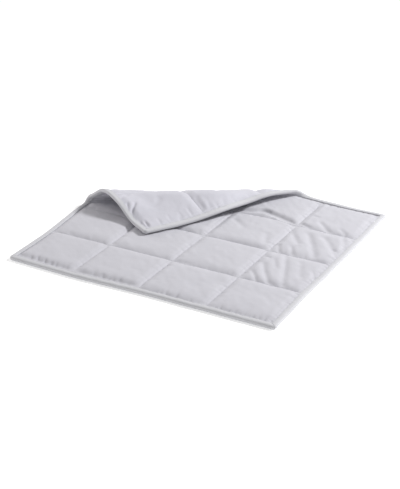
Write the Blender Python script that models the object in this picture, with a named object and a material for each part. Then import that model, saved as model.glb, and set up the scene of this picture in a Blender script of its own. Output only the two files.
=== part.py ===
"""A quilted weighted blanket lying on a table with its back left corner folded over.

The blanket is one filled pad, sewn through in a grid of sixteen pockets, with a bound rim
of four strips mitred at the corners. Every point is worked out on the blanket laid out flat
(x along the front edge, y towards the back, w off the middle of the cloth) and then carried
to its place by the fold. All sizes are in millimetres and the objects are made in metres.
"""
import math

import bmesh
import bpy
import numpy as np

MM = 0.001

# The blanket laid out flat
WIDTH = 616.0                 # front edge, left to right
DEPTH = 581.0                 # left edge, front to back
COLUMN_SEAMS = (12.5, 154.0, 308.0, 462.0, 603.5)
ROW_SEAMS = (12.5, 151.0, 290.5, 430.0, 568.5)
CORNER_RADIUS = 9.0           # outer corners of the rim

# The pad through its thickness, off its middle
SEAM_HALF = 1.5               # half thickness on a stitch line
REST_HALF = 4.5               # middle of the pad above the table, where it lies flat
REST_EDGE = 20.0              # run from a stitch line to the flat underside of a pocket
FLAP_HALF = 4.7               # how far each face rises over the seams on the turned corner
CROWN_FLATNESS = 5.0          # higher gives a flatter top to a pocket
CROWN_FULLNESS = 0.8          # lower gives steeper sides by the seams
FLANGE_EDGE = 3.0             # edge of the pad inside the rim, from the outer edge

# How full each pocket is: crown over the seam, rows from the front, columns from the left
POCKET_FILL = (
    (6.6, 7.2, 6.9, 6.7),
    (6.8, 6.4, 7.0, 6.6),
    (6.2, 6.6, 6.8, 6.4),
    (6.0, 6.4, 6.2, 6.6),
)

# Grid lines across a pocket, as fractions of it, and the pockets that take each
EVEN_LINES = (0.0, 0.035, 0.09, 0.18, 0.30, 0.43, 0.57, 0.70, 0.82, 0.91, 0.965)
TURN_LINES = (0.0, 0.035, 0.10, 0.22, 0.36, 0.47, 0.54, 0.61, 0.68, 0.75, 0.83, 0.965)
PLAIN_LINES = (0.0, 0.035, 0.10, 0.22, 0.38, 0.55, 0.72, 0.86, 0.95)
PEAK_LINES = (0.0, 0.035, 0.075, 0.105, 0.135, 0.165, 0.195, 0.23, 0.265, 0.30, 0.34, 0.38,
              0.43, 0.48, 0.53, 0.58, 0.63, 0.68, 0.73, 0.78, 0.83, 0.88, 0.93, 0.968)
FOLD_LINES = (0.0, 0.035, 0.085, 0.14, 0.195, 0.25, 0.305, 0.36, 0.415, 0.47,
              0.525, 0.58, 0.635, 0.69, 0.745, 0.80, 0.86, 0.92, 0.968)
COLUMN_LINES = (EVEN_LINES, EVEN_LINES, TURN_LINES, PLAIN_LINES)
ROW_LINES = (PLAIN_LINES, PLAIN_LINES, PEAK_LINES, FOLD_LINES)

# The rim: its section from the inner lip over the top, round the edge and back under,
# as distance in from the outer edge and height off the middle
RIM_WIDTH = 12.0
RIM_SECTION = (
    (12.0, 1.8), (12.0, 3.4), (10.6, 4.4), (4.0, 4.3), (1.3, 3.1), (0.0, 0.9),
    (0.1, -1.6), (1.2, -3.7), (3.4, -4.5), (10.9, -4.5), (12.0, -3.6), (12.0, -1.8),
    (2.7, -1.8), (2.7, 1.8),
)
# The faces that close a mitred end, as points of the section: the bridge, then each leg
MITRE_FACES = (
    (13, 5, 6), (13, 6, 12), (13, 4, 5), (13, 3, 4), (13, 2, 3), (13, 0, 2), (0, 1, 2),
    (12, 6, 7), (12, 7, 8), (12, 8, 9), (12, 9, 11), (9, 10, 11),
)
MITRE_GAP = 0.25              # each strip stops this far short of the corner's diagonal
MITRE_STEPS = (0.0, 0.3, 0.6)  # sections between the mitre and the first grid line

# The fold: a straight line across the flat blanket, and the path of the cloth across it
FOLD_POINT = (96.0, 409.0)
FOLD_ANGLE = 28.9             # of the line from the front edge, degrees
FOLD_PATH = (
    # mm across the line, slope of the cloth in degrees
    (-42.0, 0.0), (-28.0, 25.0), (-14.0, 85.0), (0.0, 150.0),
    (30.0, 160.0), (60.0, 197.0), (110.0, 193.0), (170.0, 180.0),
)
PEAK_PATH = (
    # the same at the left edge, where the cloth stands up in a peak; it ends at the same place
    (-42.0, 0.0), (-30.0, 3.0), (-18.0, 98.0), (-6.0, 147.0), (8.0, 135.0), (22.0, 135.0),
    (36.0, 163.0), (50.0, 178.0), (64.0, 184.0), (86.0, 193.0), (110.0, 209.0), (170.0, 180.0),
)
PEAK_RUN = (10.0, 70.0)       # mm from the left edge over which the peak gives way to the fold
RAMP_PATH = (
    # the same towards the back edge, where a long low ramp ends in a tighter turn
    (-87.0, 0.0), (-62.0, 5.6), (-24.0, 5.4), (-12.0, 30.0), (10.0, 170.0), (32.0, 169.0),
    (60.0, 203.0), (90.0, 193.0), (120.0, 180.0), (170.0, 180.0),
)
RAMP_RUN = (150.0, 250.0)     # mm along the line over which the fold gives way to the ramp
PATH_START = -90.0
FOLD_BOW = (
    # mm along the line, how far the line bows towards the front there
    (-140.0, 2.0), (60.0, 2.0), (220.0, 0.0), (360.0, 0.0),
)
FOLD_SIZE = (
    # mm along the line, size of the loop there
    (-140.0, 1.22), (-110.0, 1.15), (-60.0, 1.02), (-30.0, 0.96),
    (20.0, 0.92), (80.0, 0.95), (130.0, 0.97), (360.0, 0.88),
)
FLAP_HEIGHT = 20.5            # middle of the turned corner over the table
FLAP_SETTLE = (40.0, 150.0)   # mm across the line over which it comes down to that height
FLAP_EDGE_SAG = 2.0           # the rim of the turned corner hangs this much lower
FLAP_EDGE_RUN = 50.0

# Places where the cloth has been pushed or pulled in its own plane
PULLS = (
    # x, y, reach in x, reach in y, shift in x, shift in y
    (0.0, 314.0, 110.0, 130.0, -18.0, 0.0),
    (150.0, 0.0, 110.0, 80.0, 0.0, -5.0),
    (616.0, 150.0, 50.0, 80.0, -2.5, 0.0),
    (385.0, 432.0, 70.0, 45.0, 0.0, 8.0),
)

# Soft creases in the upper face: troughs are negative
CREASES = (
    # x0, y0, x1, y1, half width, height
    (318.0, 438.0, 376.0, 467.0, 8.0, -2.6),
    (366.0, 468.0, 462.0, 424.0, 8.0, -3.0),
    (340.0, 444.0, 430.0, 438.0, 8.0, 1.4),
    (486.0, 292.0, 520.0, 196.0, 9.0, -1.8),
    (545.0, 284.0, 566.0, 216.0, 9.0, -1.5),
    (500.0, 424.0, 548.0, 318.0, 10.0, -1.6),
    (556.0, 416.0, 584.0, 330.0, 9.0, -1.4),
    (180.0, 30.0, 286.0, 26.0, 12.0, -2.0),
    (330.0, 250.0, 400.0, 176.0, 12.0, -1.2),
)

# Colours of the cloth, linear
PAD_COLOUR = (0.60, 0.60, 0.64, 1.0)
RIM_COLOUR = (0.63, 0.63, 0.66, 1.0)


def eased(value):
    """Smooth step from 0 to 1 for a value going from 0 to 1."""
    step = np.clip(value, 0.0, 1.0)
    return step * step * (3.0 - 2.0 * step)


def fold_path(table):
    """Distance across the fold line, and position, height and slope of the cloth there."""
    marks = np.array(table)
    across = np.linspace(PATH_START, 420.0, 1021)
    slope = np.radians(np.interp(across, marks[:, 0], marks[:, 1]))
    step = across[1] - across[0]
    middle = (slope[1:] + slope[:-1]) / 2.0
    run = PATH_START + np.concatenate(([0.0], np.cumsum(np.cos(middle) * step)))
    rise = np.concatenate(([0.0], np.cumsum(np.sin(middle) * step)))
    return across, run, rise, slope


PATHS = [fold_path(table) for table in (FOLD_PATH, PEAK_PATH, RAMP_PATH)]


def fold_axes():
    """Unit vectors along the fold line and across it towards the turned corner."""
    angle = math.radians(FOLD_ANGLE)
    along = np.array((math.cos(angle), math.sin(angle)))
    return along, np.array((-along[1], along[0]))


def rounded(x, y):
    """Draw the square outer corners in to a radius."""
    half = np.array((WIDTH / 2.0, DEPTH / 2.0))
    side_x = np.where(x < half[0], -1.0, 1.0)
    side_y = np.where(y < half[1], -1.0, 1.0)
    out_x = np.abs(x - half[0]) - (half[0] - CORNER_RADIUS)
    out_y = np.abs(y - half[1]) - (half[1] - CORNER_RADIUS)
    corner = (out_x > 0.0) & (out_y > 0.0)
    reach = np.hypot(out_x, out_y)
    scale = np.where(corner, np.maximum(out_x, out_y) / np.maximum(reach, 1e-9), 1.0)
    new_x = half[0] + side_x * (half[0] - CORNER_RADIUS + out_x * scale)
    new_y = half[1] + side_y * (half[1] - CORNER_RADIUS + out_y * scale)
    return np.where(corner, new_x, x), np.where(corner, new_y, y)


def pulled(x, y):
    """Shift the cloth in its own plane where it has been pushed about."""
    new_x = np.array(x, dtype=float)
    new_y = np.array(y, dtype=float)
    for at_x, at_y, reach_x, reach_y, shift_x, shift_y in PULLS:
        share = np.exp(-((x - at_x) / reach_x) ** 2 - ((y - at_y) / reach_y) ** 2)
        new_x += shift_x * share
        new_y += shift_y * share
    return new_x, new_y


def fold_place(x, y):
    """Distance across and along the fold line, size of the loop there, and the line's bow."""
    along, across = fold_axes()
    shift_x, shift_y = x - FOLD_POINT[0], y - FOLD_POINT[1]
    t = shift_x * along[0] + shift_y * along[1]
    s = shift_x * across[0] + shift_y * across[1]
    sizes, bows = np.array(FOLD_SIZE), np.array(FOLD_BOW)
    bow = np.interp(t, bows[:, 0], bows[:, 1])
    return s + bow, t, np.interp(t, sizes[:, 0], sizes[:, 1]), bow


def path_shares(x, t):
    """How much of each path the cloth takes: the fold, the peak at the left, the ramp behind."""
    peak = eased((PEAK_RUN[1] - x) / (PEAK_RUN[1] - PEAK_RUN[0]))
    ramp = eased((t - RAMP_RUN[0]) / (RAMP_RUN[1] - RAMP_RUN[0]))
    return (1.0 - peak) * (1.0 - ramp), peak * (1.0 - ramp), ramp


def placed(x, y, w):
    """Carry points of the flat blanket, w off its middle, to where the fold lays them."""
    x, y = np.broadcast_arrays(np.asarray(x, float), np.asarray(y, float))
    edge = np.minimum(np.minimum(x, WIDTH - x), np.minimum(y, DEPTH - y))
    sheet_x = x
    x, y = pulled(*rounded(x, y))
    s, t, size, bow = fold_place(x, y)
    mark = s / size
    shares = path_shares(sheet_x, t)
    run, rise, lean = (
        sum(share * np.interp(mark, path[0], path[part]) for share, path in zip(shares, PATHS))
        for part in (1, 2, 3)
    )
    end = sum(share * path[2][-1] for share, path in zip(shares, PATHS))
    flat = mark < PATH_START
    reach = np.where(flat, s, size * run) - bow
    height = np.where(flat, 0.0, size * rise)
    lean = np.where(flat, 0.0, lean)
    settle = eased((mark - FLAP_SETTLE[0]) / (FLAP_SETTLE[1] - FLAP_SETTLE[0]))
    height += settle * (FLAP_HEIGHT - REST_HALF - size * end)
    height -= settle * FLAP_EDGE_SAG * eased(1.0 - edge / FLAP_EDGE_RUN)
    reach = reach - w * np.sin(lean)
    height = height + w * np.cos(lean) + REST_HALF
    along, over = fold_axes()
    return np.stack((
        FOLD_POINT[0] + t * along[0] + reach * over[0],
        FOLD_POINT[1] + t * along[1] + reach * over[1],
        height,
    ), axis=-1)


def pocket_share(value, seams):
    """Index of the pocket a line falls in, how far across it is, and mm to the nearest seam."""
    seams = np.array(seams)
    index = np.clip(np.searchsorted(seams, value, side="right") - 1, 0, len(seams) - 2)
    share = np.clip((value - seams[index]) / (seams[index + 1] - seams[index]), 0.0, 1.0)
    near = np.minimum(value - seams[index], seams[index + 1] - value)
    return index, share, np.maximum(near, 0.0)


def arch(share):
    """Rise of a pocket across it, 0 on the seams and 1 in the middle."""
    return np.maximum(1.0 - np.abs(2.0 * share - 1.0) ** CROWN_FLATNESS, 0.0) ** CROWN_FULLNESS


def crease_height(x, y):
    """Troughs and ridges along the crease lines, fading out at their ends."""
    total = np.zeros_like(x)
    for x0, y0, x1, y1, half_width, height in CREASES:
        length = math.hypot(x1 - x0, y1 - y0)
        ahead = ((x - x0) * (x1 - x0) + (y - y0) * (y1 - y0)) / length
        aside = ((y - y0) * (x1 - x0) - (x - x0) * (y1 - y0)) / length
        ends = eased(ahead / 15.0) * eased((length - ahead) / 15.0)
        total += height * ends * np.exp(-(aside / half_width) ** 2)
    return total


def pad_faces_off_middle(x, y):
    """Upper and lower face of the pad, off its middle."""
    column, share_x, near_x = pocket_share(x, COLUMN_SEAMS)
    row, share_y, near_y = pocket_share(y, ROW_SEAMS)
    fill = np.array(POCKET_FILL)[row, column]
    crown = arch(share_x) * arch(share_y)
    s, _, size, _ = fold_place(*pulled(x, y))
    turned = eased((s / size + 40.0) / 40.0)
    upper = (fill * crown + crease_height(x, y) * np.minimum(crown * 2.0, 1.0)) * (1.0 - turned)
    upper = SEAM_HALF + upper + FLAP_HALF * crown * turned
    rest = (REST_HALF - SEAM_HALF) * eased(near_x / REST_EDGE) * eased(near_y / REST_EDGE)
    lower = -SEAM_HALF - rest * (1.0 - turned) - FLAP_HALF * crown * turned
    return upper, lower


def grid_lines(seams, shares, length):
    """Lines of the grid across the blanket, from the pad's edge to its other edge."""
    lines = [FLANGE_EDGE]
    for left, right, steps in zip(seams[:-1], seams[1:], shares):
        lines.extend(left + (right - left) * step for step in steps)
    lines.extend((seams[-1], length - FLANGE_EDGE))
    return np.array(lines)


X_LINES = grid_lines(COLUMN_SEAMS, COLUMN_LINES, WIDTH)
Y_LINES = grid_lines(ROW_SEAMS, ROW_LINES, DEPTH)


def split_quads(quads, flat):
    """Two triangles for each quad, cut along whichever diagonal runs nearer the fold line."""
    along, _ = fold_axes()
    corners = flat[quads]
    first = corners[:, 2] - corners[:, 0]
    second = corners[:, 3] - corners[:, 1]
    first_lean = np.abs(first @ along) / (np.linalg.norm(first, axis=1) + 1e-9)
    second_lean = np.abs(second @ along) / (np.linalg.norm(second, axis=1) + 1e-9)
    use_first = (first_lean >= second_lean - 1e-6)[:, None]
    one = np.where(use_first, quads[:, [0, 1, 2]], quads[:, [0, 1, 3]])
    two = np.where(use_first, quads[:, [0, 2, 3]], quads[:, [1, 2, 3]])
    return np.concatenate((one, two))


def pad_shape():
    """Points and triangles of the filled pad: upper face, lower face and the edge between."""
    x, y = np.meshgrid(X_LINES, Y_LINES, indexing="ij")
    upper, lower = pad_faces_off_middle(x, y)
    points = np.concatenate((
        placed(x, y, upper).reshape(-1, 3), placed(x, y, lower).reshape(-1, 3),
    ))
    flat = np.stack((x, y), axis=-1).reshape(-1, 2)
    flat = np.concatenate((flat, flat))
    rows, columns = x.shape
    index = np.arange(rows * columns).reshape(rows, columns)
    cells = np.stack((index[:-1, :-1], index[1:, :-1], index[1:, 1:], index[:-1, 1:]), axis=-1)
    cells = cells.reshape(-1, 4)
    under = cells[:, ::-1] + rows * columns
    loop = np.concatenate((index[:, 0], index[-1, 1:], index[-2::-1, -1], index[0, -2:0:-1]))
    after = np.roll(loop, -1)
    side = np.stack((loop, loop + rows * columns, after + rows * columns, after), axis=-1)
    return points, split_quads(np.concatenate((cells, under, side)), flat)


def strip_stations(lines, length):
    """Where the sections of a strip stand: the grid lines between its two mitres."""
    inner = lines[2:-2]
    return inner[(inner > RIM_WIDTH + 2.0) & (inner < length - RIM_WIDTH - 2.0)]


def strip_shape(edge):
    """Points and triangles of one bound edge, its section run from mitre to mitre."""
    lines, length = (X_LINES, WIDTH) if edge in ("front", "back") else (Y_LINES, DEPTH)
    stations = strip_stations(lines, length)
    section = np.array(RIM_SECTION)
    inward, height = section[:, 0], section[:, 1]
    start = inward + MITRE_GAP
    ends = [start + (stations[0] - start) * step for step in MITRE_STEPS]
    others = [length - start + (stations[-1] - length + start) * step
              for step in reversed(MITRE_STEPS)]
    middle = [np.full(len(section), station) for station in stations]
    ahead = np.stack(ends + middle + others)
    inward = np.broadcast_to(inward, ahead.shape)
    height = np.broadcast_to(height, ahead.shape)
    places = {
        "front": (ahead, inward),
        "back": (ahead, DEPTH - inward),
        "left": (inward, ahead),
        "right": (WIDTH - inward, ahead),
    }
    x, y = places[edge]
    points = placed(x, y, height).reshape(-1, 3)
    flat = np.stack((x, y), axis=-1).reshape(-1, 2)
    count, ring = ahead.shape
    index = np.arange(count * ring).reshape(count, ring)
    turned = np.roll(index, -1, axis=1)
    quads = np.stack((index[:-1], index[1:], turned[1:], turned[:-1]), axis=-1).reshape(-1, 4)
    triangles = split_quads(quads, flat)
    cap = np.array(MITRE_FACES)
    return points, np.concatenate((triangles, cap[:, ::-1], cap + (count - 1) * ring))


def centred_shift(shapes):
    """Shift that puts the middle of the blanket's box over the origin, its base at nought."""
    points = np.concatenate([points for points, _ in shapes.values()])
    low, high = points.min(axis=0), points.max(axis=0)
    return np.array(((low[0] + high[0]) / 2.0, (low[1] + high[1]) / 2.0, low[2]))


def cloth_material(name, colour):
    """Plain soft cloth of one colour."""
    material = bpy.data.materials.new(name)
    material.use_nodes = True
    shader = material.node_tree.nodes["Principled BSDF"]
    shader.inputs["Base Color"].default_value = colour
    shader.inputs["Roughness"].default_value = 0.9
    return material


def make_object(name, points, triangles, colour):
    """One closed body with its own material, faces outward."""
    mesh = bpy.data.meshes.new(name)
    mesh.from_pydata((points * MM).tolist(), [], triangles.tolist())
    body = bmesh.new()
    body.from_mesh(mesh)
    bmesh.ops.recalc_face_normals(body, faces=body.faces[:])
    body.to_mesh(mesh)
    body.free()
    mesh.materials.append(cloth_material(name + "_cloth", colour))
    made = bpy.data.objects.new(name, mesh)
    bpy.context.scene.collection.objects.link(made)
    return made


def main():
    for old in list(bpy.data.objects):
        bpy.data.objects.remove(old, do_unlink=True)
    shapes = {"quilted_pad": pad_shape()}
    for edge in ("front", "right", "back", "left"):
        shapes["binding_" + edge] = strip_shape(edge)
    shift = centred_shift(shapes)
    for name, (points, triangles) in shapes.items():
        colour = PAD_COLOUR if name == "quilted_pad" else RIM_COLOUR
        make_object(name, points - shift, triangles, colour)


main()
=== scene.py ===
"""Visual model of a quilted weighted blanket that lies with its back left corner folded over.

The blanket is drawn laid out flat (x along the front edge, y towards the back, w off the middle
of the cloth) and every point is then carried to its place by the fold. Lengths are in
millimetres, except where a comment says metres, and Blender gets metres.
"""

import math

import bmesh
import bpy
import numpy as np
from bpy.props import FloatProperty, FloatVectorProperty, PointerProperty
from mathutils import Matrix, Vector


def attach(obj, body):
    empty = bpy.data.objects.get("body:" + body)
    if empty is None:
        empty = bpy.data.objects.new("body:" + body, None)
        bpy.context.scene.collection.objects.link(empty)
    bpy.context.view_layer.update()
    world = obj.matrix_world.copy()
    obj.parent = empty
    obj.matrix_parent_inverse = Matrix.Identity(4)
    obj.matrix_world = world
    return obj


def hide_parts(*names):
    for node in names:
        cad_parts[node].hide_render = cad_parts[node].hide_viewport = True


bl_info = {
    "name": "Weighted Blanket",
    "version": (1, 0, 0),
    "blender": (4, 5, 0),
    "location": "View3D > Sidebar > Blanket",
    "description": "Builds a quilted weighted blanket with a bound rim and one folded corner",
    "category": "Object",
}

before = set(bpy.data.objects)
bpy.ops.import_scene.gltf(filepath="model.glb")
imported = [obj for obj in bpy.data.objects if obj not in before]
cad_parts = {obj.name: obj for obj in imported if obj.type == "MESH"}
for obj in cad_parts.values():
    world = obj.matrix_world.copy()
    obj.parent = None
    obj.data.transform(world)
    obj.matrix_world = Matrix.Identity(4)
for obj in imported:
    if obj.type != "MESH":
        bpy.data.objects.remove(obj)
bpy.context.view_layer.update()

MM = 0.001                    # metres in a millimetre
TINY = 1e-9
ORIGIN = np.array((298.954, 288.029, 0.0))   # middle of the blanket's box on the flat sheet

# Stitch lines of the pockets, and how full each pocket is: rows from the front
COLUMN_SEAMS = (12.5, 154.0, 308.0, 462.0, 603.5)
ROW_SEAMS = (12.5, 151.0, 290.5, 430.0, 568.5)
POCKET_FILL = (
    (6.6, 7.2, 6.9, 6.7),
    (6.8, 6.4, 7.0, 6.6),
    (6.2, 6.6, 6.8, 6.4),
    (6.0, 6.4, 6.2, 6.6),
)
CROWN_SHOULDERS = ((16.0, 1.6), (46.0, 5.0))   # in x and y: mm to the full height, power
CROWN_DOME = 0.1              # share of the height that is a dome over the whole pocket
FLAP_HALF = 5.2               # height of the turned corner's crowns, on both faces

# Heights of the pad's faces off its middle
SEAM_HALF = 0.8               # on a seam
FLANGE_HALF = 1.5             # inside the rim
FLANGE_RUN = (15.5, 12.5)     # from the edge: where the flange starts, where it is full
REST_HALF = 4.5               # of the under cloth on the floor
REST_EDGE = 20.0              # from a seam to where the under cloth rests
LEAST_HALF = 0.6              # least height of a creased face
CREASE_HOLD = 2.0             # creases have their full depth where the crown is 1 / this
CORNER_RADIUS = 9.0

# Grid of the pad's faces
PAD_EDGE = 3.0                # from the blanket's edge to the pad's, inside the rim
CLOSE_LINES = (0.0, 0.9, 2.1, 3.7, 5.8)   # from a stitch line
EVEN_LINES = 65               # between the close ones of two stitch lines
INNER_STEP = 3                # grid lines to one line of the hidden inner face

# The fold, across its line and along it
FOLD_POINT = (96.0, 409.0)
FOLD_PATH = (
    # mm across the line, slope of the cloth in degrees
    (-42.0, 0.0), (-28.0, 25.0), (-14.0, 85.0), (0.0, 150.0),
    (30.0, 160.0), (60.0, 197.0), (110.0, 193.0), (170.0, 180.0),
)
PEAK_PATH = (
    # the same at the left edge, where the cloth stands up in a peak
    (-42.0, 0.0), (-30.0, 3.0), (-18.0, 98.0), (-6.0, 147.0), (8.0, 135.0), (22.0, 135.0),
    (36.0, 163.0), (50.0, 178.0), (64.0, 184.0), (86.0, 193.0), (110.0, 209.0), (170.0, 180.0),
)
PEAK_RUN = (70.0, 10.0)       # from the left edge: where the peak starts, where it is full
RAMP_PATH = (
    # the same towards the back edge, where a long low ramp ends in a tighter turn
    (-87.0, 0.0), (-62.0, 5.6), (-24.0, 5.4), (-12.0, 30.0), (10.0, 170.0), (32.0, 169.0),
    (60.0, 203.0), (90.0, 193.0), (120.0, 180.0), (170.0, 180.0),
)
RAMP_RUN = (150.0, 250.0)     # along the line: where the ramp starts, where it is full
PATH_START = -90.0
PATH_END = 420.0
PATH_MARKS = 1021
FOLD_BOW = (
    # mm along the line, how far the line bows towards the front there
    (-140.0, 2.0), (60.0, 2.0), (220.0, 0.0), (360.0, 0.0),
)
FOLD_SIZE = (
    # mm along the line, size of the loop there
    (-140.0, 1.22), (-110.0, 1.15), (-60.0, 1.02), (-30.0, 0.96),
    (20.0, 0.92), (80.0, 0.95), (130.0, 0.97), (360.0, 0.88),
)
TURN_RUN = (-40.0, 0.0)       # across the line: where the faces start to change, and end
FLAP_SETTLE = (40.0, 150.0)   # across the line: where the flap starts to settle, and lies level
FLAP_EDGE_SAG = 2.0
FLAP_EDGE_RUN = 50.0          # from the flap's edge to where the sag starts
PULLS = (
    # x, y, reach in x, reach in y, shift in x, shift in y
    (0.0, 314.0, 110.0, 130.0, -18.0, 0.0),
    (150.0, 0.0, 110.0, 80.0, 0.0, -5.0),
    (616.0, 150.0, 50.0, 80.0, -2.5, 0.0),
    (385.0, 432.0, 70.0, 45.0, 0.0, 8.0),
)

# Creases of the upper cloth: x0, y0, x1, y1, sideways bow, half width, height
UPPER_CREASES = (
    (480.0, 229.0, 538.0, 142.0, -3.0, 7.2, -2.8),
    (491.0, 258.0, 517.0, 212.0, 0.0, 5.6, -1.5),
    (507.0, 283.0, 560.0, 153.0, 0.0, 7.6, -2.7),
    (546.0, 270.0, 577.0, 200.0, 0.0, 8.0, -1.5),
    (472.0, 188.0, 500.0, 151.0, 2.0, 4.8, -2.0),
    (466.0, 259.0, 485.0, 254.0, 0.0, 4.0, -1.8),
    (586.0, 240.0, 611.0, 199.0, 0.0, 5.0, -1.5),
    (468.0, 397.0, 512.0, 338.0, -3.0, 7.4, -2.2),
    (502.0, 403.0, 564.0, 298.0, 2.0, 8.6, -2.8),
    (537.0, 402.0, 598.0, 326.0, 3.0, 8.2, -2.6),
    (575.0, 424.0, 608.0, 352.0, 1.0, 7.0, -2.0),
    (470.0, 325.0, 489.0, 280.0, 0.0, 4.8, -2.2),
    (497.0, 328.0, 523.0, 280.0, 0.0, 5.6, -2.1),
    (578.0, 355.0, 606.0, 340.0, 0.0, 4.2, -1.3),
    (464.0, 443.0, 500.0, 429.0, 0.0, 5.4, -2.8),
    (500.0, 468.0, 548.0, 424.0, 0.0, 6.6, -2.8),
    (553.0, 456.0, 577.0, 434.0, 0.0, 5.4, -1.8),
    (474.0, 489.0, 496.0, 484.0, 0.0, 5.0, -1.4),
    (304.0, 438.0, 384.0, 458.0, 0.0, 9.0, -5.0),
    (356.0, 460.0, 470.0, 424.0, 3.0, 9.0, -6.0),
    (422.0, 362.0, 447.0, 306.0, 0.0, 8.0, -1.5),
    (325.0, 387.0, 371.0, 355.0, 3.0, 7.0, -1.6),
    (150.0, 17.0, 304.0, 16.0, 0.0, 10.0, -3.0),
    (10.0, 17.0, 156.0, 17.0, 0.0, 10.0, -2.6),
    (50.0, 8.0, 42.0, 28.0, 0.0, 3.2, -2.0),
    (67.0, 8.0, 57.0, 31.0, 0.0, 3.6, -2.8),
    (86.0, 8.0, 76.0, 31.0, 0.0, 3.4, -2.6),
    (102.0, 8.0, 95.0, 26.0, 0.0, 3.2, -1.8),
    (228.0, 8.0, 218.0, 29.0, 0.0, 4.4, -2.0),
    (268.0, 8.0, 260.0, 27.0, 0.0, 4.0, -1.8),
    (316.0, 150.0, 350.0, 154.0, 0.0, 4.6, -1.6),
    (12.0, 326.0, 120.0, 386.0, 2.0, 4.2, -2.4),
    (12.0, 339.0, 108.0, 392.0, 0.0, 3.4, 1.6),
    (12.0, 350.0, 100.0, 398.0, 3.0, 3.6, -2.8),
    (12.0, 363.0, 90.0, 404.0, 0.0, 3.2, 1.6),
    (12.0, 373.0, 82.0, 412.0, -2.0, 3.4, -2.6),
)
# Creases of the under cloth, which shows on the turned corner
UNDER_CREASES = (
    (5.0, 503.0, 38.0, 470.0, 0.0, 3.6, -3.8),
    (6.0, 480.0, 22.0, 466.0, 0.0, 3.2, -3.0),
    (15.0, 528.0, 12.5, 566.0, 0.0, 2.8, -3.6),
    (24.0, 534.0, 20.0, 566.0, 0.0, 2.8, -3.0),
    (14.0, 446.0, 40.0, 436.0, 0.0, 3.4, -2.4),
    (166.0, 506.0, 158.0, 562.0, 2.0, 7.0, -1.6),
    (180.0, 520.0, 174.0, 566.0, 0.0, 5.0, -0.7),
    (60.0, 500.0, 96.0, 470.0, 4.0, 8.0, -1.4),
    (214.0, 520.0, 240.0, 470.0, 0.0, 8.0, -1.4),
    (52.0, 540.0, 50.0, 566.0, 0.0, 3.6, -1.0),
    (78.0, 536.0, 74.0, 566.0, 0.0, 3.6, -0.8),
    (104.0, 538.0, 102.0, 566.0, 0.0, 3.6, -0.8),
    (128.0, 534.0, 126.0, 566.0, 0.0, 3.6, -1.0),
)
CREASE_FADE = 14.0            # length of a crease's ends, where it fades
CREASE_FADE_SHARE = 0.4       # and the most of its length that each may take
CREASE_LEAD = 0.3             # share of the fade that lies past the end
RIDGE_HEIGHT = 0.2            # swell on both sides of a trough, share of its depth
RIDGE_REACH = 2.0             # and its width, in widths of the trough

# Gathers beside the stitch lines, mm deep: front to back and left to right
ROW_GATHERS = (3.8, 1.3, 1.2, 1.5, 2.6)
COLUMN_GATHERS = (2.0, 1.4, 1.5, 1.7, 2.6)
UNDER_GATHERS = 0.7           # those of the under cloth, share of the upper cloth's
GATHER_TABLE = (16, 128, 4)   # random numbers: stitch lines, valleys, numbers for each
GATHER_PITCH = 11.0           # from valley to valley
GATHER_SHIFT = 0.4            # how far off its even place a valley may lie, in pitches
GATHER_TILT = 0.35            # how far it may lean aside for each mm away from the stitches
GATHER_HALF = 2.3             # its half width at the stitches
GATHER_UNEVEN = 0.25          # how much the half widths differ
GATHER_SPREAD = 0.1           # how much wider it gets for each mm away
GATHER_REACH = (7.5, 4.5)     # how far it reaches: middle, and how much that differs
GATHER_DEPTH = (0.6, 0.8)     # its depth, in the same way, as a share
GATHER_RISE = 1.3             # from the stitches to where it has most of its depth
GATHER_END = (34.0, 20.0)     # away from the stitches: where it has ended, where it starts to
GATHER_CROSS = 7.0            # from a crossing seam to where it has its full depth
GATHER_SWELL = 0.22           # height of the swell beside the stitches
SWELL_REACH = 7.0

# Noise of the cloths: height, and the mm to one step of the noise each way
LATTICE = 64
BROAD_LUMPS = (0.8, 34.0, 34.0)
SLACK_LUMPS = (0.45, 15.0, 26.0)
FINE_LUMPS = (0.16, 7.0, 9.0)
UPPER_SEEDS = (11, 21)        # of the lumps, of the gathers
UNDER_SEEDS = (41, 71)
SEED_STEP = 4

# The bound rim's section: distance in from its outer edge, height off the middle
RIM_PROFILE = (
    (12.0, 1.8), (12.0, 2.9), (11.75, 3.7), (11.3, 4.15), (10.85, 4.25), (10.4, 3.95),
    (9.95, 4.25), (9.0, 4.42), (7.4, 4.5), (5.6, 4.48), (4.0, 4.3), (2.6, 3.85),
    (1.4, 3.15), (0.55, 2.15), (0.12, 1.0), (0.0, -0.2), (0.12, -1.5), (0.6, -2.7),
    (1.4, -3.7), (2.4, -4.3), (3.6, -4.5), (6.6, -4.5), (9.5, -4.5), (9.95, -4.35),
    (10.4, -4.05), (10.85, -4.35), (11.3, -4.4), (11.75, -3.95), (12.0, -3.2),
    (12.0, -1.8), (2.7, -1.8), (2.7, 1.8),
)
RIM_DRAWN = 9.0               # thickness that the section is drawn at
RIM_WIDTH = 12.0
RIM_SHOWN = (2, 27)           # first and last point of the section that show
RIM_TURN = 15                 # the section's point on the outer edge
RIM_UPPER = -1.0              # points above this height belong to the upper face
RIM_STATIONS = 331            # sections from mitre to mitre
MITRE_GAP = 0.25
RIM_SEEDS = {"front": 51, "right": 54, "back": 57, "left": 60}
RIM_RIPPLE = (0.34, 4.2, 9.0)
RIPPLE_RISE = 9.0             # from the outer edge to where the ripples have their full height
RIM_SWELL = (0.22, 17.0, 7.0)
RIM_WANDER = (0.9, 42.0, 1.0)
WANDER_LINE = 0.5             # where the wander is read across its noise
WANDER_OUT = -0.3             # the furthest it goes outwards

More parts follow.
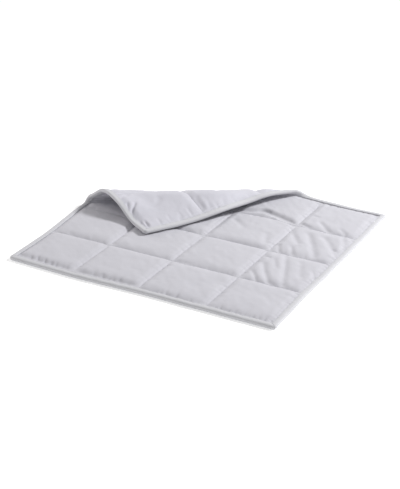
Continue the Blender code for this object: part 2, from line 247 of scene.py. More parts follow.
# Rows of stitches
STITCH_INSET = 10.4           # of the rim's, from its outer edge
STITCH_START = 14.0           # of the channels', from the blanket's edge
CHANNEL_LIFT = 0.1            # over the seam's face
RIM_STITCH_HEIGHTS = (4.05, -4.15)
STITCH_TAPER = (0.45, 0.95, 1.0, 0.95, 0.45)   # thickness along a stitch, share of the thread's
STITCH_SIDES = 5
STITCH_HALF = 0.41            # half a stitch's length, in pitches
STITCH_BOW = 0.12             # how far its middle stands off

# Finish of the cloths, in metres: from thread to thread, height of the weave, and the sheen.
# The rim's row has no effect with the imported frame, which brings its own plain rim_cloth.
CLOTH_FINISH = {
    "upper_cloth": (0.0009, 0.00006, 0.15),
    "under_cloth": (0.0007, 0.00005, 0.25),
    "rim_cloth": (0.0008, 0.00006, 0.15),
    "thread": (0.00025, 0.00002, 0.1),
}
CLOTH_ROUGHNESS = 0.88
CLOTH_GLOSS = 0.25
SHEEN_ROUGHNESS = 0.45
WEAVE_STRENGTH = 0.5
WEAVE_RELIEF = 0.5            # height of the threads beside their fuzz
FUZZ = (1400.0, 3.0)          # scale and detail of the noise
STREAKS = (260.0, 2.0)
CLOUD_SCALE = 22.0
CLOUD_DETAIL = 4.0
CLOUD_SHARE = 0.7
STREAK_SHARE = 0.3
TONES = (0.955, 1.045)        # darkest and lightest tone, share of the colour

# Stage, in metres
FLOOR_REACH = 6.0
FLOOR_LEVEL = -0.0002
FLOOR_ROUGHNESS = 0.9
WHITE = (1.0, 1.0, 1.0)
LIGHTS = (
    # name, place, size, colour
    ("key", (1.787, 1.611, 2.104), 0.55, WHITE),
    ("fill", (-2.0, -0.15, 0.6), 1.0, (1.0, 0.95, 0.93)),
)

# Camera
CAMERA_AZIMUTH = 28.85        # from the front edge's square, towards the right, degrees
CAMERA_ELEVATION = 25.85
CAMERA_CORNER = (14.0, 14.0, 0.0)   # front left corner of the stitches
CAMERA_OFFSET = (380.9, 29.7, 2513.3)   # from that corner: right, up and away, as it looks
FOCAL_PIXELS = 1200.0
FRAME_PIXELS = 489.0
SENSOR = 36.0
CAMERA_CLIP = (0.05, 50.0)    # metres


def eased(value):
    """Smooth step from 0 to 1 for a value going from 0 to 1: three squares less two cubes."""
    step = np.clip(value, 0.0, 1.0)
    return step * step * (3.0 - 2.0 * step)


def ramped(value, start, end):
    """Smooth step from 0 at the start to 1 at the end, which may lie on either side of it."""
    return eased((value - start) / (end - start))


def bowed(share):
    """Parabola over a share from 0 to 1: 0 at both ends and 1 in the middle."""
    return 4.0 * share * (1.0 - share)


def soft_noise(x, y, seed):
    """Smooth noise from -1 to 1: random heights on a unit lattice, blended with smooth steps."""
    heights = np.random.default_rng(seed).uniform(-1.0, 1.0, (LATTICE, LATTICE))
    cell_x, cell_y = np.floor(x).astype(int), np.floor(y).astype(int)
    blend_x, blend_y = eased(x - cell_x), eased(y - cell_y)
    near, far = (
        heights[cell_x % LATTICE, row % LATTICE] * (1.0 - blend_x)
        + heights[(cell_x + 1) % LATTICE, row % LATTICE] * blend_x
        for row in (cell_y, cell_y + 1)
    )
    return near * (1.0 - blend_y) + far * blend_y


def noise_layer(layer, along, across, seed):
    """A layer's height times the noise of the places divided by its steps."""
    height, step_along, step_across = layer
    return height * soft_noise(along / step_along, across / step_across, seed)


def fold_path(table):
    """The fold's path: its slope runs evenly between the table's marks and is summed up."""
    marks = np.array(table)
    across = np.linspace(PATH_START, PATH_END, PATH_MARKS)
    slope = np.radians(np.interp(across, marks[:, 0], marks[:, 1]))
    step = across[1] - across[0]
    middle = (slope[1:] + slope[:-1]) / 2.0
    run = PATH_START + np.concatenate(([0.0], np.cumsum(np.cos(middle) * step)))
    rise = np.concatenate(([0.0], np.cumsum(np.sin(middle) * step)))
    return across, run, rise, slope


PATHS = [fold_path(table) for table in (FOLD_PATH, PEAK_PATH, RAMP_PATH)]


def sizes():
    return bpy.context.scene.blanket_sizes


def sheet_size():
    """Width and depth of the blanket laid out flat, mm."""
    return sizes().width / MM, sizes().depth / MM


def edge_distance(x, y):
    """Distance from the nearest edge of the flat sheet."""
    width, depth = sheet_size()
    return np.minimum(np.minimum(x, width - x), np.minimum(y, depth - y))


def fold_axes():
    """Unit vectors along the fold line and across it towards the turned corner."""
    angle = sizes().fold_angle
    along = np.array((math.cos(angle), math.sin(angle)))
    return along, np.array((-along[1], along[0]))


def rounded(x, y):
    """Draw the square outer corners in to a radius: past a corner's own middle, the larger of a
    point's two steps from there becomes its distance, and its direction stays."""
    middles = [side / 2.0 for side in sheet_size()]
    steps = [np.abs(value - middle) - (middle - CORNER_RADIUS)
             for value, middle in zip((x, y), middles)]
    corner = (steps[0] > 0.0) & (steps[1] > 0.0)
    scale = np.maximum(*steps) / np.maximum(np.hypot(*steps), TINY)
    return [np.where(corner, middle + np.sign(value - middle)
                     * (middle - CORNER_RADIUS + step * scale), value)
            for value, middle, step in zip((x, y), middles, steps)]


def pulled(x, y):
    """Shift the cloth in its own plane by a bell of each pull's reach."""
    new_x, new_y = np.array(x, dtype=float), np.array(y, dtype=float)
    for at_x, at_y, reach_x, reach_y, shift_x, shift_y in PULLS:
        share = np.exp(-((x - at_x) / reach_x) ** 2 - ((y - at_y) / reach_y) ** 2)
        new_x += shift_x * share
        new_y += shift_y * share
    return new_x, new_y


def fold_place(x, y):
    """Distance across and along the fold line, size of the loop there, and the line's bow."""
    along, across = fold_axes()
    shift_x, shift_y = x - FOLD_POINT[0], y - FOLD_POINT[1]
    t = shift_x * along[0] + shift_y * along[1]
    s = shift_x * across[0] + shift_y * across[1]
    marks, bows = np.array(FOLD_SIZE), np.array(FOLD_BOW)
    bow = np.interp(t, bows[:, 0], bows[:, 1])
    return s + bow, t, np.interp(t, marks[:, 0], marks[:, 1]), bow


def path_shares(x, t):
    """Shares of the fold, of the peak at the left and of the ramp behind: products of steps."""
    peak, ramp = ramped(x, *PEAK_RUN), ramped(t, *RAMP_RUN)
    return (1.0 - peak) * (1.0 - ramp), peak * (1.0 - ramp), ramp


def placed(x, y, w):
    """Carry points of the flat sheet, w off its middle, to their place, in metres. The blended
    paths, times the loop's size, give the run and the rise at a point's distance across the fold
    line, w is laid off square to their slope, and the flap settles to its own height."""
    x, y = np.broadcast_arrays(np.asarray(x, float), np.asarray(y, float))
    edge = edge_distance(x, y)
    sheet_x = x
    x, y = pulled(*rounded(x, y))
    s, t, size, bow = fold_place(x, y)
    mark = s / size
    shares = path_shares(sheet_x, t)
    run, rise, lean = (
        sum(share * np.interp(mark, path[0], path[part]) for share, path in zip(shares, PATHS))
        for part in (1, 2, 3)
    )
    end = sum(share * path[2][-1] for share, path in zip(shares, PATHS))
    flat = mark < PATH_START
    reach = np.where(flat, s, size * run) - bow
    height = np.where(flat, 0.0, size * rise)
    lean = np.where(flat, 0.0, lean)
    settle = ramped(mark, *FLAP_SETTLE)
    height += settle * (sizes().flap_height / MM - REST_HALF - size * end)
    height -= settle * FLAP_EDGE_SAG * eased(1.0 - edge / FLAP_EDGE_RUN)
    reach = reach - w * np.sin(lean)
    height = height + w * np.cos(lean) + REST_HALF
    along, over = fold_axes()
    points = np.stack((
        FOLD_POINT[0] + t * along[0] + reach * over[0],
        FOLD_POINT[1] + t * along[1] + reach * over[1],
        height,
    ), axis=-1)
    return (points - ORIGIN) * MM


def turned_share(x, y):
    """0 where the blanket lies flat, 1 past the fold line."""
    s, _, size, _ = fold_place(*pulled(x, y))
    return ramped(s / size, *TURN_RUN)


def pocket_share(value, seams):
    """Pocket index, share of the way across it, and distance to its lower and upper seam."""
    seams = np.array(seams)
    index = np.clip(np.searchsorted(seams, value, side="right") - 1, 0, len(seams) - 2)
    low, high = value - seams[index], seams[index + 1] - value
    share = np.clip(low / (seams[index + 1] - seams[index]), 0.0, 1.0)
    return index, share, np.maximum(low, 0.0), np.maximum(high, 0.0)


def arch(share, near, run, power):
    """Rise of a pocket across it, 0 on the seams and 1 in the middle: a rounded shoulder that ends
    at the run's distance from a seam, with a little of a parabola over the whole pocket."""
    shoulder = 1.0 - np.maximum(1.0 - near / run, 0.0) ** power
    return (1.0 - CROWN_DOME) * shoulder + CROWN_DOME * bowed(share)


def creases(x, y, table):
    """Sum of troughs and ridges: a bell across each bowed line less a fifth of one twice as wide,
    faded at its ends."""
    total = np.zeros_like(x)
    for x0, y0, x1, y1, bow, half_width, height in table:
        length = math.hypot(x1 - x0, y1 - y0)
        ahead = ((x - x0) * (x1 - x0) + (y - y0) * (y1 - y0)) / length
        aside = ((y - y0) * (x1 - x0) - (x - x0) * (y1 - y0)) / length
        share = np.clip(ahead / length, 0.0, 1.0)
        spread = ((aside - bow * bowed(share)) / half_width) ** 2
        fade = min(CREASE_FADE, length * CREASE_FADE_SHARE)
        ends = eased(ahead / fade + CREASE_LEAD) * eased((length - ahead) / fade + CREASE_LEAD)
        ridge = RIDGE_HEIGHT * np.exp(-spread / RIDGE_REACH ** 2)
        total += height * ends * (np.exp(-spread) - ridge)
    return total


def seam_gathers(along, away, line, seed):
    """Gathers square to a stitch line: in each step along it one valley, bell shaped across, with
    a random place, tilt, depth and length, that dies away from the stitches, and a low swell."""
    table = np.random.default_rng(seed).uniform(-1.0, 1.0, GATHER_TABLE)
    step = np.floor(along / GATHER_PITCH).astype(int)
    total = np.zeros_like(along)
    for beside in (-1, 0, 1):
        index = step + beside
        drawn = table[line % GATHER_TABLE[0], index % GATHER_TABLE[1]]
        shift, tilt, depth, length = np.moveaxis(drawn, -1, 0)
        middle = (index + 0.5 + GATHER_SHIFT * shift) * GATHER_PITCH + GATHER_TILT * tilt * away
        half = GATHER_HALF * (1.0 + GATHER_UNEVEN * length) + GATHER_SPREAD * away
        reach = GATHER_REACH[0] + GATHER_REACH[1] * length
        valley = np.exp(-((along - middle) / half) ** 2) * np.exp(-away / reach)
        total -= np.maximum(GATHER_DEPTH[0] + GATHER_DEPTH[1] * depth, 0.0) * valley
    swell = GATHER_SWELL * np.exp(-away / SWELL_REACH)
    rise = 1.0 - np.exp(-away / GATHER_RISE)
    return (total + swell) * rise * ramped(away, *GATHER_END)


def gather_height(x, y, seed):
    """Sum of the gathers beside the four stitch lines of each pocket, deepest at the rim."""
    column, _, left, right = pocket_share(x, COLUMN_SEAMS)
    row, _, front, back = pocket_share(y, ROW_SEAMS)
    total = np.zeros_like(x)
    for depths, pocket, along, sides, crossing in (
        (ROW_GATHERS, row, x, (front, back), np.minimum(left, right)),
        (COLUMN_GATHERS, column, y, (left, right), np.minimum(front, back)),
    ):
        for side, away in enumerate(sides):
            gathers = seam_gathers(along, away, pocket * 2 + side, seed)
            total += np.array(depths)[pocket + side] * gathers * eased(crossing / GATHER_CROSS)
            seed += SEED_STEP
    return total


def lumps(x, y, seed):
    """Unevenness of the filling and slack of the cloth: broad swells, ripples along the diagonal
    and faint fine ones."""
    return (noise_layer(BROAD_LUMPS, x, y, seed)
            + noise_layer(SLACK_LUMPS, x + y, x - y, seed + 1)
            + noise_layer(FINE_LUMPS, x, y, seed + 2))


def pad_faces(x, y):
    """Upper and lower face of the pad off its middle. The upper one is the seam's height plus
    the fill times the crown, with creases, lumps and gathers. The lower one is the same on the
    turned corner, and rests on the floor elsewhere."""
    column, share_x, left, right = pocket_share(x, COLUMN_SEAMS)
    row, share_y, front, back = pocket_share(y, ROW_SEAMS)
    near_x, near_y = np.minimum(left, right), np.minimum(front, back)
    crown = arch(share_x, near_x, *CROWN_SHOULDERS[0]) * arch(share_y, near_y, *CROWN_SHOULDERS[1])
    turned = turned_share(x, y)
    held = np.minimum(crown * CREASE_HOLD, 1.0)
    depth = sizes().crease_depth
    seam = SEAM_HALF + (FLANGE_HALF - SEAM_HALF) * ramped(edge_distance(x, y), *FLANGE_RUN)
    fill = np.array(POCKET_FILL)[row, column] * sizes().crown
    upper = (fill * (1.0 - turned) + FLAP_HALF * turned) * crown + seam
    upper += held * (creases(x, y, UPPER_CREASES) * depth + lumps(x, y, UPPER_SEEDS[0]))
    upper = np.maximum(upper + gather_height(x, y, UPPER_SEEDS[1]), LEAST_HALF)
    rest = (REST_HALF - SEAM_HALF) * eased(near_x / REST_EDGE) * eased(near_y / REST_EDGE)
    puff = FLAP_HALF * crown + UNDER_GATHERS * gather_height(x, y, UNDER_SEEDS[1])
    puff += held * (creases(x, y, UNDER_CREASES) * depth + lumps(x, y, UNDER_SEEDS[0]))
    lower = -seam - rest * (1.0 - turned) - np.maximum(puff, -LEAST_HALF) * turned
    return upper, lower


def grid_lines(seams, length):
    """Grid lines: a few close ones beside each stitch line and even steps between them."""
    close = np.array(CLOSE_LINES)
    lines = [np.array((PAD_EDGE,))]
    for start, end in zip(seams[:-1], seams[1:]):
        lines += [start + close[:-1], np.linspace(start + close[-1], end - close[-1], EVEN_LINES),
                  end - close[:0:-1]]
    return np.concatenate(lines + [np.array((seams[-1], length - PAD_EDGE))])


def new_object(name, points, faces, uv, material, flat=0):
    """Put points and faces into a mesh object with a UV map. Its faces are shaded smooth, apart
    from the last few, as many as flat says."""
    mesh = bpy.data.meshes.new(name)
    mesh.from_pydata(points.reshape(-1, 3), [], faces)
    layer = mesh.uv_layers.new(name="cloth")
    corner = np.empty(len(mesh.loops), dtype=np.int32)
    mesh.loops.foreach_get("vertex_index", corner)
    layer.data.foreach_set("uv", uv.reshape(-1, 2)[corner].astype(np.float32).reshape(-1))
    mesh.materials.append(material)
    mesh.polygons.foreach_set("use_smooth", np.arange(len(faces)) < len(faces) - flat)
    mesh.update()
    made = bpy.data.objects.new(name, mesh)
    bpy.context.scene.collection.objects.link(made)
    return made


def face_outwards(made):
    """Turn the faces of a closed mesh to point outwards."""
    body = bmesh.new()
    body.from_mesh(made.data)
    bmesh.ops.recalc_face_normals(body, faces=body.faces[:])
    body.to_mesh(made.data)
    body.free()


def need_closed(made):
    """Stop with an error if an edge of the mesh doesn't have two faces."""
    edge = np.empty(len(made.data.loops), dtype=np.int32)
    made.data.loops.foreach_get("edge_index", edge)
    faces = np.bincount(edge, minlength=len(made.data.edges))
    if len(edge) == 0 or (faces != 2).any():
        raise RuntimeError(made.name + " isn't closed")


def grid_cells(index):
    """Four corners of each cell of a grid of point numbers."""
    cells = np.stack((index[:-1, :-1], index[1:, :-1], index[1:, 1:], index[:-1, 1:]), axis=-1)
    return cells.reshape(-1, 4)


def around(index):
    """The point numbers on the border of a grid, once round."""
    return np.concatenate((index[:, 0], index[-1, 1:], index[-2::-1, -1], index[0, -2:0:-1]))


def pad_mesh(face):
    """Half the pad, upper (0) or under (1): its fine outer face, a coarser hidden one on the
    middle of the cloth, and triangles that fan from each coarse point to the fine ones round the
    edge."""
    width, depth = sheet_size()
    x, y = np.meshgrid(grid_lines(COLUMN_SEAMS, width), grid_lines(ROW_SEAMS, depth),
                       indexing="ij")
    outer = np.arange(x.size).reshape(x.shape)
    kept = [np.concatenate(([0], np.arange(1, count - 1, INNER_STEP), [count - 1]))
            for count in x.shape]
    picked = outer[np.ix_(*kept)]
    inner = np.arange(picked.size).reshape(picked.shape) + x.size
    inner_x, inner_y = x.reshape(-1)[picked], y.reshape(-1)[picked]
    points = np.concatenate((
        placed(x, y, pad_faces(x, y)[face]).reshape(-1, 3),
        placed(inner_x, inner_y, np.zeros_like(inner_x)).reshape(-1, 3),
    ))
    flat = np.concatenate([np.stack(pair, axis=-1).reshape(-1, 2)
                           for pair in ((x, y), (inner_x, inner_y))])
    fine, coarse, shared = around(outer), around(inner), around(picked)
    fan = np.searchsorted(np.flatnonzero(np.isin(fine, shared)), np.arange(len(fine)), "right") - 1
    band = np.concatenate((
        np.stack((fine, coarse[fan], np.roll(fine, -1)), axis=-1),
        np.stack((coarse, np.roll(coarse, -1), np.roll(shared, -1)), axis=-1),
    ))
    cells = np.concatenate((grid_cells(outer), grid_cells(inner)[:, ::-1]))
    if face == 1:
        cells, band = cells[:, ::-1], band[:, ::-1]
    return points, cells.tolist() + band.tolist(), flat * MM


def strip_mesh(edge):
    """Rim strip: its section carried from mitre to mitre, with ripples square to its stitches and
    an outer edge that wanders a little. Its ends fan from the section's two inner corners."""
    width, depth = sheet_size()
    length = width if edge in ("front", "back") else depth
    seed = RIM_SEEDS[edge]
    section = np.array(RIM_PROFILE)
    number = np.arange(len(section))
    shown = (number >= RIM_SHOWN[0]) & (number <= RIM_SHOWN[1])
    upper = shown & (section[:, 1] > RIM_UPPER)
    height = section[:, 1] * sizes().rim_thickness / MM / RIM_DRAWN
    start = section[:, 0] + MITRE_GAP
    ahead = start + (length - 2.0 * start) * np.linspace(0.0, 1.0, RIM_STATIONS)[:, None]
    inward = np.broadcast_to(section[:, 0], ahead.shape)
    ripple = noise_layer(RIM_RIPPLE, ahead, inward, seed) * eased(inward / RIPPLE_RISE)
    ripple += noise_layer(RIM_SWELL, ahead, inward, seed + 1)
    wander = noise_layer(RIM_WANDER, ahead, np.full_like(ahead, WANDER_LINE), seed + 2)
    wander = np.maximum(wander * (1.0 - inward / RIM_WIDTH), WANDER_OUT)
    moved = inward + np.where(shown, wander, 0.0)
    x, y = {
        "front": (ahead, moved), "back": (ahead, depth - moved),
        "left": (moved, ahead), "right": (width - moved, ahead),
    }[edge]
    swell = np.where(upper, ripple, 0.0)
    swell = swell - np.where(shown & ~upper, ripple * turned_share(x, y), 0.0)
    index = np.arange(ahead.size).reshape(ahead.shape)
    beside = np.roll(index, -1, axis=1)
    quads = np.stack((index[:-1], index[1:], beside[1:], beside[:-1]), axis=-1).reshape(-1, 4)
    if edge in ("back", "left"):
        quads = quads[:, ::-1]
    low, top = number[-2:]
    fans = np.stack((np.where(number < RIM_TURN, top, low), number, number + 1), axis=-1)[:-3]
    end = np.vstack((fans, (top, RIM_TURN, low)))
    ends = np.concatenate((end, end + index[-1, 0])).tolist()
    uv = np.stack((x, y), axis=-1) * MM
    return placed(x, y, height + swell), quads.tolist(), ends, uv


def channel_rows():
    """Rows of stitches on the pockets' seams: start and end on the sheet, height off the middle."""
    width, depth = sheet_size()
    lift = SEAM_HALF + CHANNEL_LIFT
    lines = [((x, STITCH_START), (x, depth - STITCH_START)) for x in COLUMN_SEAMS[1:-1]]
    lines += [((STITCH_START, y), (width - STITCH_START, y)) for y in ROW_SEAMS[1:-1]]
    return [(start, end, height) for start, end in lines for height in (lift, -lift)]


def rim_rows():
    """Rows of stitches round the rim, given in the same way."""
    width, depth = sheet_size()
    near, far_x, far_y = STITCH_INSET, width - STITCH_INSET, depth - STITCH_INSET
    corners = ((near, near), (far_x, near), (far_x, far_y), (near, far_y))
    return [(start, end, height) for start, end in zip(corners, corners[1:] + corners[:1])
            for height in RIM_STITCH_HEIGHTS]


def stitch_mesh(rows):
    """Each stitch is a small round bar, thick in its middle, bowed off the cloth and laid on it:
    rings of points round its line, as thick as the taper says, lifted by a parabola."""
    pitch, radius = sizes().stitch_length / MM, sizes().thread / MM / 2.0
    bar = np.linspace(-1.0, 1.0, len(STITCH_TAPER))[:, None]
    turn = np.arange(STITCH_SIDES) * 2.0 * np.pi / STITCH_SIDES
    thick = radius * np.array(STITCH_TAPER)[:, None]
    aside = thick * np.cos(turn)
    index = np.arange(aside.size).reshape(aside.shape)
    points, uvs = [], []
    for start, end, height in rows:
        start, end = np.array(start), np.array(end)
        length = np.linalg.norm(end - start)
        ahead = (end - start) / length
        count = int(length // pitch)
        centres = (np.arange(count) + 0.5) * length / count
        along = centres[:, None, None] + bar * pitch * STITCH_HALF
        lift = thick * np.sin(turn) + STITCH_BOW * (1.0 - bar ** 2) * np.sign(height)
        x = start[0] + ahead[0] * along - ahead[1] * aside
        y = start[1] + ahead[1] * along + ahead[0] * aside
        points.append(placed(x, y, height + lift).reshape(-1, index.size, 3))
        uvs.append((np.stack((x, y), axis=-1) * MM).reshape(-1, index.size, 2))
    points, uvs = np.concatenate(points), np.concatenate(uvs)
    after = np.roll(index, -1, axis=1)
    sides = np.stack((index[:-1], after[:-1], after[1:], index[1:]), axis=-1).reshape(-1, 4)
    base = np.arange(len(points))[:, None, None] * index.size
    faces = []
    for part in (sides, index[:1, ::-1], index[-1:]):
        faces += (part + base).reshape(-1, part.shape[-1]).tolist()
    return points, faces, uvs


class NodeGraph:
    """Small helper that adds nodes to a material or group and links them."""

    def __init__(self, tree):
        self.tree = tree

    def node(self, kind, **values):
        made = self.tree.nodes.new(kind)
        for key, value in values.items():
            setattr(made, key, value)
        return made

    def feed(self, socket, value):
        """Link an output to the socket, or set the socket's own value."""
        if hasattr(value, "is_output"):
            self.tree.links.new(value, socket)
        else:
            socket.default_value = value

    def math(self, operation, *values):
        made = self.node("ShaderNodeMath", operation=operation)
        for socket, value in zip(made.inputs, values):
            self.feed(socket, value)
        return made.outputs[0]

    def noise(self, place, scale, detail):
        made = self.node("ShaderNodeTexNoise")
        self.feed(made.inputs["Vector"], place)
        self.feed(made.inputs["Scale"], scale)
        self.feed(made.inputs["Detail"], detail)
        return made.outputs["Fac"]


def new_group(name, amount, result):
    """Start a node group that takes the place on the cloth and one named amount, and puts out
    one named value. Returns its graph, what it is given and what it puts out."""
    group = bpy.data.node_groups.new(name, "ShaderNodeTree")
    group.interface.new_socket("Cloth", in_out="INPUT", socket_type="NodeSocketVector")
    group.interface.new_socket(amount, in_out="INPUT", socket_type="NodeSocketFloat")
    group.interface.new_socket(result, in_out="OUTPUT", socket_type="NodeSocketFloat")
    graph = NodeGraph(group)
    return graph, graph.node("NodeGroupInput").outputs, graph.node("NodeGroupOutput").inputs


def weave_group():
    """Plain weave: the sines of the two thread directions multiplied, with a little fuzz."""
    graph, given, result = new_group("plain_weave", "Threads", "Height")
    parts = graph.node("ShaderNodeSeparateXYZ")
    graph.feed(parts.inputs[0], given["Cloth"])
    warp = graph.math("SINE", graph.math("MULTIPLY", parts.outputs[0], given["Threads"]))
    weft = graph.math("SINE", graph.math("MULTIPLY", parts.outputs[1], given["Threads"]))
    crossing = graph.math("MULTIPLY", graph.math("MULTIPLY", warp, weft), WEAVE_RELIEF)
    graph.feed(result["Height"], graph.math("ADD", crossing, graph.noise(given["Cloth"], *FUZZ)))
    return graph.tree


def mottle_group():
    """Faint unevenness of tone, in broad clouds and short streaks."""
    graph, given, result = new_group("cloth_mottle", "Clouds", "Tone")
    clouds = graph.noise(given["Cloth"], given["Clouds"], CLOUD_DETAIL)
    streaks = graph.noise(given["Cloth"], *STREAKS)
    graph.feed(result["Tone"], graph.math("ADD", graph.math("MULTIPLY", clouds, CLOUD_SHARE),
                                          graph.math("MULTIPLY", streaks, STREAK_SHARE)))
    return graph.tree


def shared_group(name, build):
    """The group of that name, built the first time it is asked for."""
    return bpy.data.node_groups.get(name) or build()


def new_material(name, values):
    """Material with its shader's sockets set by name. Returns it and the shader."""
    made = bpy.data.materials.new(name)
    made.use_nodes = True
    shader = made.node_tree.nodes["Principled BSDF"]
    for socket, value in values.items():
        shader.inputs[socket].default_value = value
    return made, shader


def cloth_material(name, colour):
    """Matt cloth: mottled colour, a woven bump, and a faint sheen from its nap. A material of
    that name that is there already is returned as it is. Known fault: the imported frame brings
    a rim_cloth of one flat colour, so the rim has that one and its colour control does nothing.
    Another name for the rim's material would mend it."""
    there = bpy.data.materials.get(name)
    if there is not None:
        return there
    thread_step, weave_height, sheen = CLOTH_FINISH[name]
    made, shader = new_material(name, {
        "Roughness": CLOTH_ROUGHNESS, "Specular IOR Level": CLOTH_GLOSS,
        "Sheen Weight": sheen, "Sheen Roughness": SHEEN_ROUGHNESS,
    })
    graph = NodeGraph(made.node_tree)
    cloth = graph.node("ShaderNodeUVMap", uv_map="cloth").outputs[0]
    weave = graph.node("ShaderNodeGroup", node_tree=shared_group("plain_weave", weave_group))
    graph.feed(weave.inputs["Cloth"], cloth)
    graph.feed(weave.inputs["Threads"], 2.0 * math.pi / thread_step)
    mottle = graph.node("ShaderNodeGroup", node_tree=shared_group("cloth_mottle", mottle_group))
    graph.feed(mottle.inputs["Cloth"], cloth)
    graph.feed(mottle.inputs["Clouds"], CLOUD_SCALE)
    tone = graph.node("ShaderNodeMix", data_type="RGBA")
    for socket, share in zip("AB", TONES):
        graph.feed(tone.inputs[socket], tuple(share * part for part in colour) + (1.0,))
    graph.feed(tone.inputs["Factor"], mottle.outputs["Tone"])
    graph.feed(shader.inputs["Base Color"], tone.outputs["Result"])
    lift = graph.node("ShaderNodeBump")
    graph.feed(lift.inputs["Strength"], WEAVE_STRENGTH)
    graph.feed(lift.inputs["Distance"], weave_height)
    graph.feed(lift.inputs["Height"], weave.outputs["Height"])
    graph.feed(shader.inputs["Normal"], lift.outputs["Normal"])
    return made


class BlanketSizes(bpy.types.PropertyGroup):
    """Sizes of the blanket laid out flat, and of its fold."""

    width: FloatProperty(name="Width", description="Front edge, laid out flat",
                         default=0.616, min=0.3, max=1.2, subtype="DISTANCE", unit="LENGTH")
    depth: FloatProperty(name="Depth", description="Left edge, laid out flat",
                         default=0.581, min=0.3, max=1.2, subtype="DISTANCE", unit="LENGTH")
    rim_thickness: FloatProperty(name="Rim thickness", description="Bound rim, top to bottom",
                                 default=0.009, min=0.004, max=0.015,
                                 subtype="DISTANCE", unit="LENGTH")
    crown: FloatProperty(name="Crown", description="How full the pockets are",
                         default=1.0, min=0.2, max=1.5, subtype="FACTOR")
    crease_depth: FloatProperty(name="Crease depth", description="Depth of the drawn creases",
                                default=1.2, min=0.0, max=2.0, subtype="FACTOR")
    fold_angle: FloatProperty(name="Fold angle", description="Fold line from the front edge",
                              default=math.radians(28.9), subtype="ANGLE", unit="ROTATION")
    flap_height: FloatProperty(name="Flap height", description="Turned corner over the floor",
                               default=0.0205, min=0.015, max=0.04,
                               subtype="DISTANCE", unit="LENGTH")
    stitch_length: FloatProperty(name="Stitch length", description="From stitch to stitch",
                                 default=0.0038, min=0.002, max=0.008,
                                 subtype="DISTANCE", unit="LENGTH")
    thread: FloatProperty(name="Thread", description="Thickness of the sewing thread",
                          default=0.0005, min=0.0002, max=0.001,
                          subtype="DISTANCE", unit="LENGTH")


class BlanketColours(bpy.types.PropertyGroup):
    """Colours of the cloths, the thread and the stage."""

    upper: FloatVectorProperty(name="Upper cloth", description="Colour of the upper cloth",
                               default=(0.60, 0.595, 0.64), subtype="COLOR", min=0.0, max=1.0)
    # Lighter and bluer than the upper cloth: in part the cloth's own bluer tone, in part painted
    # light for the turned corner, which faces up into the light.
    under: FloatVectorProperty(name="Under cloth", description="Colour of the under cloth",
                               default=(0.628, 0.623, 0.682), subtype="COLOR", min=0.0, max=1.0)
    rim: FloatVectorProperty(name="Rim", description="Colour of the bound rim",
                             default=(0.605, 0.60, 0.638), subtype="COLOR", min=0.0, max=1.0)
    thread: FloatVectorProperty(name="Thread", description="Colour of the sewing thread",
                                default=(0.60, 0.60, 0.64), subtype="COLOR", min=0.0, max=1.0)
    floor: FloatVectorProperty(name="Floor", description="Colour of the stage floor",
                               default=(0.93, 0.93, 0.93), subtype="COLOR", min=0.0, max=1.0)


class StageLights(bpy.types.PropertyGroup):
    """Strength of the studio's lights."""

    key: FloatProperty(name="Key", description="Power of the key light, watts",
                       default=87.0, min=0.0, max=1000.0, unit="POWER")
    fill: FloatProperty(name="Fill", description="Power of the low light at the left, watts",
                        default=12.0, min=0.0, max=1000.0, unit="POWER")
    floor_glow: FloatProperty(name="Floor glow", description="Light of the white floor itself",
                              default=0.35, min=0.0, max=2.0)
    surround: FloatProperty(name="Surround", description="Brightness of the pale surround",
                            default=0.42, min=0.0, max=5.0)


class BLANKET_OT_pad(bpy.types.Operator):
    """Build the quilted, filled pad with its folded corner"""

    bl_idname = "blanket.pad"
    bl_label = "Quilted pad"

    def execute(self, context):
        colours = context.scene.blanket_colours
        # The under cloth's lighter colour is in part painted light on the turned corner.
        cloths = (cloth_material("upper_cloth", tuple(colours.upper)),
                  cloth_material("under_cloth", tuple(colours.under)))
        for face, name in enumerate(("pad_upper", "pad_under")):
            half = new_object(name, *pad_mesh(face), cloths[face])
            need_closed(half)
            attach(half, "root")
            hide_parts("quilted_pad")
        return {"FINISHED"}


class BLANKET_OT_rim(bpy.types.Operator):
    """Build the four strips of the bound rim"""

    bl_idname = "blanket.rim"
    bl_label = "Bound rim"

    def execute(self, context):
        cloth = cloth_material("rim_cloth", tuple(context.scene.blanket_colours.rim))
        for edge in RIM_SEEDS:
            points, quads, ends, uv = strip_mesh(edge)
            made = new_object("rim_" + edge, points, quads + ends, uv, cloth, flat=len(ends))
            face_outwards(made)
            need_closed(made)
            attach(made, "root")
            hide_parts("binding_" + edge)
        return {"FINISHED"}


class BLANKET_OT_stitching(bpy.types.Operator):
    """Sew the stitches of the channels and of the rim"""

    bl_idname = "blanket.stitching"
    bl_label = "Stitching"

    def execute(self, context):
        thread = cloth_material("thread", tuple(context.scene.blanket_colours.thread))
        for name, rows in (("channel_stitches", channel_rows()), ("rim_stitches", rim_rows())):
            made = new_object(name, *stitch_mesh(rows), thread)
            need_closed(made)
            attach(made, "root")
        return {"FINISHED"}


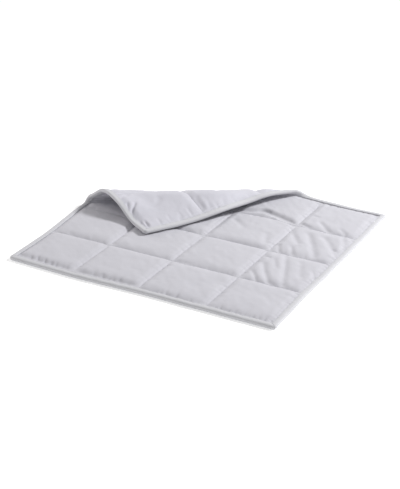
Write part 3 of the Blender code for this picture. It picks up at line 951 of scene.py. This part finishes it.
class BLANKET_OT_stage(bpy.types.Operator):
    """Set the pale floor, the soft lights and the camera"""

    bl_idname = "blanket.stage"
    bl_label = "Stage"

    def execute(self, context):
        lights = context.scene.blanket_lights
        mesh = bpy.data.meshes.new("floor")
        corners = ((-1.0, -1.0), (1.0, -1.0), (1.0, 1.0), (-1.0, 1.0))
        mesh.from_pydata([(x * FLOOR_REACH, y * FLOOR_REACH, FLOOR_LEVEL) for x, y in corners],
                         [], [(0, 1, 2, 3)])
        floor = bpy.data.objects.new("floor", mesh)
        context.scene.collection.objects.link(floor)
        pale, _ = new_material("pale_floor", {
            "Base Color": tuple(context.scene.blanket_colours.floor) + (1.0,),
            "Roughness": FLOOR_ROUGHNESS,
            "Emission Color": WHITE + (1.0,), "Emission Strength": lights.floor_glow,
        })
        mesh.materials.append(pale)
        world = bpy.data.worlds.new("surround")
        world.use_nodes = True
        back = world.node_tree.nodes["Background"]
        back.inputs["Color"].default_value = WHITE + (1.0,)
        back.inputs["Strength"].default_value = lights.surround
        context.scene.world = world
        for name, place, size, colour in LIGHTS:
            add_light(name, getattr(lights, name), place, size, colour)
        add_camera(context)
        context.scene.view_settings.view_transform = "Standard"
        return {"FINISHED"}


def add_light(name, power, place, size, colour):
    """A square area light that faces the middle of the blanket."""
    data = bpy.data.lights.new(name, "AREA")
    data.energy = power
    data.size = size
    data.color = colour
    light = bpy.data.objects.new(name, data)
    light.location = place
    light.rotation_mode = "QUATERNION"
    light.rotation_quaternion = (-Vector(place)).to_track_quat("-Z", "Y")
    bpy.context.scene.collection.objects.link(light)


def add_camera(context):
    """Camera at the photograph's angle: its axes, then its offset from the front left corner."""
    turn, tilt = math.radians(CAMERA_AZIMUTH), math.radians(CAMERA_ELEVATION)
    right = np.array((math.cos(turn), math.sin(turn), 0.0))
    back = np.array((math.sin(turn) * math.cos(tilt), -math.cos(turn) * math.cos(tilt),
                     math.sin(tilt)))
    up = np.cross(back, right)
    across, above, away = CAMERA_OFFSET
    place = np.array(CAMERA_CORNER) - ORIGIN + across * right + above * up + away * back
    data = bpy.data.cameras.new("camera")
    data.sensor_width = SENSOR
    data.lens = SENSOR * FOCAL_PIXELS / FRAME_PIXELS
    data.clip_start, data.clip_end = CAMERA_CLIP
    camera = bpy.data.objects.new("camera", data)
    matrix = Matrix(np.stack((right, up, back), axis=1).tolist()).to_4x4()
    matrix.translation = Vector(place * MM)
    camera.matrix_world = matrix
    context.scene.collection.objects.link(camera)
    context.scene.camera = camera


class BLANKET_PT_panel(bpy.types.Panel):
    """Lists the blanket's sizes, colours and building steps"""

    bl_idname = "BLANKET_PT_panel"
    bl_label = "Weighted blanket"
    bl_space_type = "VIEW_3D"
    bl_region_type = "UI"
    bl_category = "Blanket"

    def draw(self, context):
        layout = self.layout
        for settings in ("blanket_sizes", "blanket_colours", "blanket_lights"):
            group = getattr(context.scene, settings)
            box = layout.box()
            for name in group.__annotations__:
                box.prop(group, name)
        for step in STEPS:
            layout.operator(step.bl_idname)


STEPS = (BLANKET_OT_pad, BLANKET_OT_rim, BLANKET_OT_stitching, BLANKET_OT_stage)
CLASSES = (BlanketSizes, BlanketColours, StageLights) + STEPS + (BLANKET_PT_panel,)


def register():
    for one in CLASSES:
        bpy.utils.register_class(one)
    bpy.types.Scene.blanket_sizes = PointerProperty(type=BlanketSizes)
    bpy.types.Scene.blanket_colours = PointerProperty(type=BlanketColours)
    bpy.types.Scene.blanket_lights = PointerProperty(type=StageLights)


def unregister():
    del bpy.types.Scene.blanket_lights
    del bpy.types.Scene.blanket_colours
    del bpy.types.Scene.blanket_sizes
    for one in reversed(CLASSES):
        bpy.utils.unregister_class(one)


def main():
    register()
    bpy.ops.blanket.pad()
    bpy.ops.blanket.rim()
    bpy.ops.blanket.stitching()
    bpy.ops.blanket.stage()


if __name__ == "__main__":
    main()
